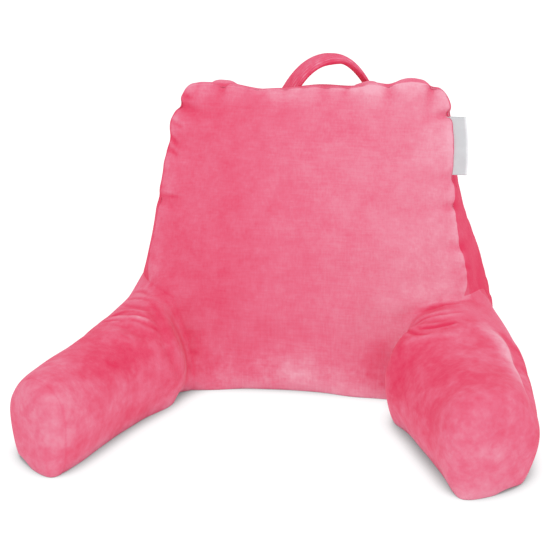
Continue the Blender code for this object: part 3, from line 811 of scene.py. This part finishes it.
def fold_dent(fold, places):
    """Inward shift of a fold that runs out at both ends, with a low ridge beside it."""
    gaps, along = distance_to_line(places, fold_line(fold, places))
    share = gaps / fold.half_width
    profile = np.exp(-share**2) - RIDGE_HEIGHT * np.exp(-(share - RIDGE_PLACE) ** 2)
    return fold.depth * profile * np.sin(pi * along) ** FOLD_FADE


def gather_dent(gather, line, places):
    hint = np.array((gather.x, gather.z))
    order = np.argsort(np.linalg.norm(line[:, (0, 2)] - hint, axis=1))
    course = line[order[2]] - line[order[1]]
    course /= np.linalg.norm(course)
    from_middle = places - line[order[0]]
    along = from_middle @ course
    away = np.linalg.norm(from_middle - along[:, None] * course, axis=1)
    return gather.depth * np.exp(-(along / gather.half_width) ** 2 - (away / gather.reach) ** 2)


# ------ the cover
def share_group(obj, name, shares):
    group = obj.vertex_groups.new(name=name)
    for n in np.nonzero(shares > 0.001)[0]:
        group.add([int(n)], float(shares[n]), "REPLACE")


def fill_out(cover):
    """Blow the cover up between its held seams as a cloth, and limit how far it went."""
    mesh = cover.data
    before, _ = read_points(mesh)
    held = np.where(before[:, 2] < CLOTH_FLOOR, 1.0, 0.0)
    for seam in HELD_SEAMS:
        on_seam = point_values(mesh, seam) > ON_SEAM
        held = np.maximum(held, np.where(on_seam, SEAM_HOLD, 0.0))
    slack = np.zeros(len(before))
    for spot in SLACK_SPOTS:
        gaps = np.linalg.norm(before - np.array(spot.place), axis=1)
        slack = np.maximum(slack, np.exp(-(gaps / spot.reach) ** 2))
    share_group(cover, "held", held)
    share_group(cover, "slack", slack)
    modifier = cover.modifiers.new("fill_out", "CLOTH")
    for name, value in CLOTH.items():
        setattr(modifier.settings, name, value)
    modifier.settings.effector_weights.gravity = 0.0
    modifier.settings.vertex_group_mass = "held"
    modifier.settings.vertex_group_shrink = "slack"
    modifier.collision_settings.use_collision = False
    modifier.point_cache.frame_end = CLOTH_FRAMES + 1
    for frame in range(1, CLOTH_FRAMES + 1):
        bpy.context.scene.frame_set(frame)
    mesh = evaluated(cover)
    cover.vertex_groups.clear()
    bpy.context.scene.frame_set(1)
    moved = read_points(mesh)[0] - before
    far = np.maximum(np.linalg.norm(moved, axis=1), 1e-9)[:, None]
    write_points(mesh, before + moved * CLOTH_REACH * np.tanh(far / CLOTH_REACH) / far)


def make_cover(materials):
    cover = link("pillow_cover", cage_mesh("pillow_cover"))
    smooth(cover, CLOTH_LEVEL)
    fill_out(cover)
    mesh = smooth(cover, COVER_LEVEL - CLOTH_LEVEL)
    places, normals = read_points(mesh)
    courses = {seam.name: Course(mesh, places, normals, seam.name) for seam in SEAMS}

    # what the solid has too
    inward = np.zeros(len(places))
    for seam in SEAMS:
        groove = seam_groove(courses[seam.name], places, seam.depth, SEAM_HALF_WIDTH)
        inward = np.maximum(inward, groove)
    for gather in GATHERS:
        inward += gather_dent(gather, courses["front"].points, places)
    for fold in FOLDS:
        inward += fold_dent(fold, places)
    large = places - normals * inward[:, None]

    # what shows from close by
    fine = np.zeros(len(places))
    for n, kind in enumerate(PUCKERS):
        fine += seam_puckers(courses[kind.seam], places, kind, PUCKER_SEED + n)
    for crease in CREASES:
        fine += fold_dent(crease, places)
    stitched = np.zeros(len(places))
    for seam in STITCHED:
        line = seam_groove(courses[seam], places, STITCH_DEPTH, STITCH_HALF_WIDTH)
        stitched = np.maximum(stitched, line)
    fine += stitched
    write_points(mesh, large - normals * (fine - LUMP_SIZE * lumps(places))[:, None])

    # how deep each point lies in a dent, for the painted shade
    dents = fine + SOLID_DENTS * inward
    add_values(mesh, "nap", nap(places, normals, dents, courses["front"]))
    add_values(mesh, "crush", crush(places))
    add_values(mesh, "weave", WEAVE_AMOUNT * (1.0 - on_arms(places)))
    for seam in SEAMS:
        mesh.attributes.remove(mesh.attributes[seam.name])
        mesh.attributes.remove(mesh.attributes[seam.name + "_order"])
    thin_out(cover, COVER_TRIANGLES)
    cut_at_floor(cover)
    for finish in materials:
        cover.data.materials.append(finish)
    cover.data.shade_smooth()
    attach(cover, "root")
    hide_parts("pillow")


def step(values, low, high):
    """0 below low, 1 above high and a soft rise between them."""
    share = np.clip((values - low) / (high - low), 0.0, 1.0)
    return share * share * (3.0 - 2.0 * share)


def on_arms(places):
    """1 on the arms, 0 on the back."""
    _, y, z = places.T
    return step(-y, *ARMS_BEGIN) * step(-z, *ARMS_TOP)


def nap(places, normals, dents, front_seam):
    """How light the pile lies, about -2 to 2, painted light and shade included: painted shade in
    creases, painted sheen on what stands out.
    """
    x, y, z = places.T
    arms = on_arms(places)
    front = step(-normals[:, 1], *FRONT_FACING)
    # the front panel lighter towards the right: brushed pile and painted light
    panel = NAP_SIDES + front * (NAP_MIDDLE - NAP_SIDES + NAP_AND_LIGHT_SLOPE * np.clip(x, *NAP_REACH))
    # sleeves darker, tips lighter: pile and painted sheen
    sleeve = NAP_SLEEVE + (NAP_TIP - NAP_SLEEVE) * step(-y, *TIP_BRIGHTENS)
    value = panel + arms * (sleeve - panel)
    # painted sheen just above the floor
    value += FOOT_PAINTED_SHEEN * np.exp(-((z - FOOT_HEIGHT) / FOOT_SPREAD) ** 2)
    # painted sheen along the top
    value += TOP_PAINTED_SHEEN * step(normals[:, 2], *TOP_FACING) * step(z, *TOP_HEIGHTS)
    # painted sheen along the front seam
    value += seam_groove(front_seam, places, RIM_PAINTED_SHEEN, RIM_HALF_WIDTH)
    for stroke in LIGHT_AND_SHADE_STROKES:
        value += stroke_light(stroke, places)
    # painted shade in dents and creases, painted light on the ridges beside them
    return value - np.clip(dents / DENT_SHADE, *DENT_SHADES)


def stroke_light(stroke, places):
    """A lighter or darker band along a curve: painted sheen, painted shade and brushed pile."""
    gaps, along = distance_to_line(places, fold_line(stroke, places))
    across = np.exp(-(gaps / stroke.half_width) ** 2)
    return stroke.light * across * np.sin(pi * along) ** STROKE_FADE


def crush(places):
    """How blotchy the pile is: most along the foot of the front panel and on the arms."""
    z = places[:, 2]
    foot = np.exp(-((z - CRUSHED_HEIGHT) / CRUSHED_SPREAD) ** 2)
    return PANEL_CRUSH + (1.0 - PANEL_CRUSH) * np.maximum(on_arms(places), foot)


# ------ strap and tab
def strap_angles():
    """Angles at which the points of the strap's section stand evenly apart."""
    angles = np.linspace(0.0, 2.0 * pi, STRAP_TRACING)
    rise = np.sign(np.sin(angles)) * np.abs(np.sin(angles)) ** STRAP_SQUARENESS
    edge = np.column_stack((STRAP_HALF_WIDTH * np.cos(angles), STRAP_MIDDLE[1] / 2.0 * rise))
    lengths = np.concatenate(((0.0,), np.cumsum(np.linalg.norm(np.diff(edge, axis=0), axis=1))))
    return np.interp(np.arange(STRAP_SIDES) / STRAP_SIDES * lengths[-1], lengths, angles)


def strap_ring(u, angles):
    """Section of the strap at u, from -1 at its left foot to 1 at its right one."""
    left, right = STRAP_FEET
    foot = left if u < 0.0 else right
    rise = STRAP_TOP - STRAP_FOOT
    middle = np.array((
        STRAP_X + foot.reach * abs(u),
        np.interp(u, (-1.0, 1.0), (left.y, right.y)),
        STRAP_FOOT + rise * (1.0 - abs(u)**foot.power),
    ))
    slope = foot.power * rise / foot.reach * abs(u)**(foot.power - 1.0)
    outward = np.array((slope, 0.0, 1.0))
    outward /= np.linalg.norm(outward)
    turn = radians(np.interp(u, (-1.0, 1.0), (left.turn, right.turn)))
    across = np.array((sin(turn), cos(turn), 0.0)) * STRAP_HALF_WIDTH
    share, thickest = STRAP_MIDDLE
    outward *= np.interp(u, (-1.0, share, 1.0), (left.thickness, thickest, right.thickness)) / 2.0
    ring = []
    for n, angle in enumerate(angles):
        c, s = cos(angle), sin(angle)
        puff = 1.0 - STRAP_QUILTING * quilting(u, n / STRAP_SIDES)
        ring.append(middle + across * c + outward * np.sign(s) * abs(s)**STRAP_SQUARENESS * puff)
    return ring


def ripple(wave, u, turn):
    return wave.size * sin(wave.along * u + wave.around * turn + wave.phase)


def quilting(u, turn):
    """1 on the strap's lengthwise rows of stitches, which wander a little, 0 between them."""
    wander = sum(ripple(wave, u, turn) for wave in ROW_WANDER)
    return max(0.0, cos(2.0 * pi * STRAP_ROWS * turn + wander)) ** STITCH_POWER


def strap_threads_and_shade(u, turn, angle):
    """Light threads along the rows, and painted shade on the underside."""
    thread = quilting(u, turn) * (THREAD_MEAN + ripple(THREAD, u, turn))
    shade_under = float(step(-sin(angle), *STRAP_SHADE_FACING))
    return STRAP_LIGHT * thread * (1.0 - UNDER_FADE * shade_under) - STRAP_UNDER_SHADE * shade_under


def make_strap(finish):
    bm = bmesh.new()
    shares = np.linspace(-STRAP_SINK, STRAP_SINK, STRAP_STATIONS)
    angles = strap_angles()
    rings = [[bm.verts.new(point) for point in strap_ring(u, angles)] for u in shares]
    for near, far in zip(rings, rings[1:]):
        for n in range(STRAP_SIDES):
            m = (n + 1) % STRAP_SIDES
            bm.faces.new((near[n], near[m], far[m], far[n]))
    bm.faces.new(rings[0][::-1])
    bm.faces.new(rings[-1])
    bmesh.ops.recalc_face_normals(bm, faces=bm.faces)
    strap = link_bmesh("carry_strap", bm)
    threads_and_shade = [strap_threads_and_shade(u, n / STRAP_SIDES, angle) for u in shares for n, angle in enumerate(angles)]
    add_values(strap.data, "nap", np.array(threads_and_shade))
    add_values(strap.data, "crush", np.ones(len(threads_and_shade)))
    strap.data.materials.append(finish)
    strap.data.shade_smooth()
    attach(strap, "root")
    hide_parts("handle")


def tab_section(reach):
    """A folded ribbon seen from its cut end: out along one layer, round and back."""
    half = TAB_GAP / 2.0
    turn = [pi * n / TAB_ARC for n in range(TAB_ARC + 1)]
    fold = [(reach - half + half * sin(a), -half * cos(a)) for a in turn]
    out = [(o, -half) for o in np.linspace(-TAB_ROOT, fold[0][0], TAB_STEPS)[:-1]]
    return out + fold + [(o, half) for o, _ in out[::-1]]


def make_tab(finish):
    heights = [row.height * BACK_HEIGHT for row in ROWS]
    halves = [row.right for row in ROWS]
    lean = tan(radians(BACK_LEAN))
    outward, facing = Vector((1.0, 0.0, 0.0)), Vector((0.0, 1.0, 0.0))
    bm = bmesh.new()
    rows = []
    for t in np.linspace(0.0, 1.0, TAB_ROWS):
        z = TAB_LOW + (TAB_HIGH - TAB_LOW) * t
        seam = Vector((BACK_X + np.interp(z, heights, halves), FRONT_Y + z * lean + TAB_BACK, z))
        reach = TAB_REACH + TAB_BOW * sin(pi * t)
        row = []
        for o, f in tab_section(reach):
            f += ripple(TAB_RIPPLE, t, o) * max(0.0, o / reach)
            row.append(bm.verts.new(seam + outward * o + facing * f))
        rows.append(row)
    for low, high in zip(rows, rows[1:]):
        for n in range(len(low) - 1):
            bm.faces.new((low[n], low[n + 1], high[n + 1], high[n]))
    tab = link_bmesh("satin_tab", bm)
    reaches = np.array([o for o, _ in tab_section(TAB_REACH)] * TAB_ROWS)
    # a painted highlight along the ribbon's fold
    edges = (TAB_REACH - before for before in TAB_FOLD_HIGHLIGHT)
    add_values(tab.data, "fold", step(reaches, *edges))
    modifier = tab.modifiers.new("ribbon", "SOLIDIFY")
    modifier.thickness = TAB_LAYER
    modifier.offset = 0.0
    tab.data.materials.append(finish)
    tab.data.shade_smooth()
    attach(tab, "root")
    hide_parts("label")


# ------ materials
class Nodes:
    """Adds nodes to a material and joins them."""

    def __init__(self, name):
        self.material = bpy.data.materials.new(name)
        self.material.use_nodes = True
        self.tree = self.material.node_tree
        self.shader = self.tree.nodes["Principled BSDF"]
        self.place = self.tree.nodes.new("ShaderNodeTexCoord").outputs["Object"]

    def join(self, out, into):
        self.tree.links.new(out, into)

    def math(self, operation, *values):
        node = self.tree.nodes.new("ShaderNodeMath")
        node.operation = operation
        for socket, value in zip(node.inputs, values):
            if isinstance(value, (int, float)):
                socket.default_value = value
            else:
                self.join(value, socket)
        return node.outputs[0]

    def noise(self, scale, stretch=(1.0, 1.0, 1.0)):
        """Noise about 0."""
        node = self.tree.nodes.new("ShaderNodeTexNoise")
        node.inputs["Scale"].default_value = scale
        squeeze = self.tree.nodes.new("ShaderNodeVectorMath")
        squeeze.operation = "MULTIPLY"
        squeeze.inputs[1].default_value = stretch
        self.join(self.place, squeeze.inputs[0])
        self.join(squeeze.outputs["Vector"], node.inputs["Vector"])
        return self.math("SUBTRACT", node.outputs["Fac"], 0.5)

    def layers(self, layers):
        """Noises of several scales and sizes added up."""
        total = 0.0
        for scale, size in layers:
            total = self.math("ADD", self.math("MULTIPLY", self.noise(scale), size), total)
        return total

    def value(self, name):
        """A value on the mesh's points, 0 where it has none."""
        node = self.tree.nodes.new("ShaderNodeAttribute")
        node.attribute_name = name
        return node.outputs["Fac"]

    def ramp(self, factor, stops, into):
        node = self.tree.nodes.new("ShaderNodeValToRGB")
        elements = node.color_ramp.elements
        while len(elements) < len(stops):
            elements.new(0.5)
        for element, (position, colour) in zip(elements, stops):
            element.position = position
            element.color = (*colour, 1.0)
        self.join(factor, node.inputs["Fac"])
        self.join(node.outputs["Color"], self.shader.inputs[into])

    def bump(self, height, strength, distance):
        node = self.tree.nodes.new("ShaderNodeBump")
        node.inputs["Strength"].default_value = strength
        node.inputs["Distance"].default_value = distance
        self.join(height, node.inputs["Height"])
        self.join(node.outputs["Normal"], self.shader.inputs["Normal"])

    def done(self, values):
        """Sets the shader's own sockets and returns the material."""
        for name, value in values.items():
            self.shader.inputs[name].default_value = value
        return self.material


def plush(name, tone, sheen):
    """Short pile: tone is how light it lies on this panel."""
    n = Nodes(name)
    blotches = n.math("MULTIPLY", n.layers(NAP_BLOTCHES), n.value("crush"))
    for stretch in WEAVE_STRETCHES:
        weave = n.math("MULTIPLY", n.noise(WEAVE_SCALE, stretch), n.value("weave"))
        blotches = n.math("ADD", weave, blotches)
    shade = n.math("ADD", n.math("ADD", n.value("nap"), tone), blotches)
    n.ramp(n.math("MULTIPLY_ADD", shade, SHADE_STEP, 0.5), PLUSH_STOPS, "Base Color")
    n.bump(n.layers(PILE_GRAIN), *PILE_BUMP)
    return n.done({
        "Roughness": PILE_ROUGHNESS,
        "Specular IOR Level": PILE_SPECULAR,
        "Sheen Weight": sheen,
        "Sheen Roughness": SHEEN_ROUGHNESS,
        "Sheen Tint": SHEEN_TINT,
    })


def satin():
    n = Nodes("satin")
    weave = n.tree.nodes.new("ShaderNodeTexWave")
    weave.bands_direction = "Z"
    weave.inputs["Scale"].default_value = SATIN_THREADS
    n.join(n.place, weave.inputs["Vector"])
    n.bump(weave.outputs["Fac"], *SATIN_BUMP)
    # lighter along the fold: a painted highlight
    n.ramp(n.math("ADD", n.noise(SATIN_CLOUDS), n.value("fold")), SATIN_STOPS, "Base Color")
    return n.done({"Roughness": SATIN_ROUGHNESS, "Sheen Weight": SATIN_SHEEN})


def floor_finish():
    """White paper that glows like a lit sweep, with a painted shadow where something stands close
    over it.
    """
    n = Nodes("floor")
    near = n.tree.nodes.new("ShaderNodeAmbientOcclusion")
    near.inputs["Distance"].default_value = SHADOW_REACH
    n.ramp(near.outputs["AO"], FLOOR_GLOW_AND_SHADOW, "Emission Color")
    return n.done({
        "Emission Strength": 1.0,
        "Base Color": (*FLOOR_COLOUR, 1.0),
        "Roughness": FLOOR_ROUGHNESS,
        "Specular IOR Level": 0.0,
    })


# ------ stage
def aim(name, data, place):
    """A camera or lamp at place that looks at the target."""
    obj = link(name, data)
    obj.location = place
    obj.rotation_euler = (TARGET - place).to_track_quat("-Z", "Y").to_euler()
    return obj


def make_stage():
    bm = bmesh.new()
    bmesh.ops.create_grid(bm, x_segments=1, y_segments=1, size=FLOOR_SIZE)
    floor = link_bmesh("floor", bm)
    floor.location.z = -FLOOR_DROP
    floor.data.materials.append(floor_finish())
    world = bpy.data.worlds.new("studio")
    bpy.context.scene.world = world
    world.use_nodes = True
    background = world.node_tree.nodes["Background"]
    background.inputs["Color"].default_value = (1.0, 1.0, 1.0, 1.0)
    background.inputs["Strength"].default_value = SKY
    lamp = bpy.data.lights.new("overhead", "AREA")
    lamp.energy = LAMP_POWER
    lamp.size = LAMP_SIZE
    aim("overhead", lamp, LAMP_PLACE)


def make_camera():
    camera = bpy.data.cameras.new("camera")
    camera.lens = CAMERA_LENS
    a, e = radians(CAMERA_AZIMUTH), radians(CAMERA_ELEVATION)
    back = Vector((sin(a) * cos(e), -cos(a) * cos(e), sin(e)))
    bpy.context.scene.camera = aim("camera", camera, TARGET + back * CAMERA_DISTANCE)


def main():
    for obj in list(bpy.data.objects):
        bpy.data.objects.remove(obj, do_unlink=True)
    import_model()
    bpy.context.scene.view_settings.view_transform = "Standard"
    make_camera()
    make_stage()
    make_cover([plush(*panel) for panel in PANELS])
    make_strap(plush("plush_strap", STRAP_TONE, SHEEN))
    make_tab(satin())


main()
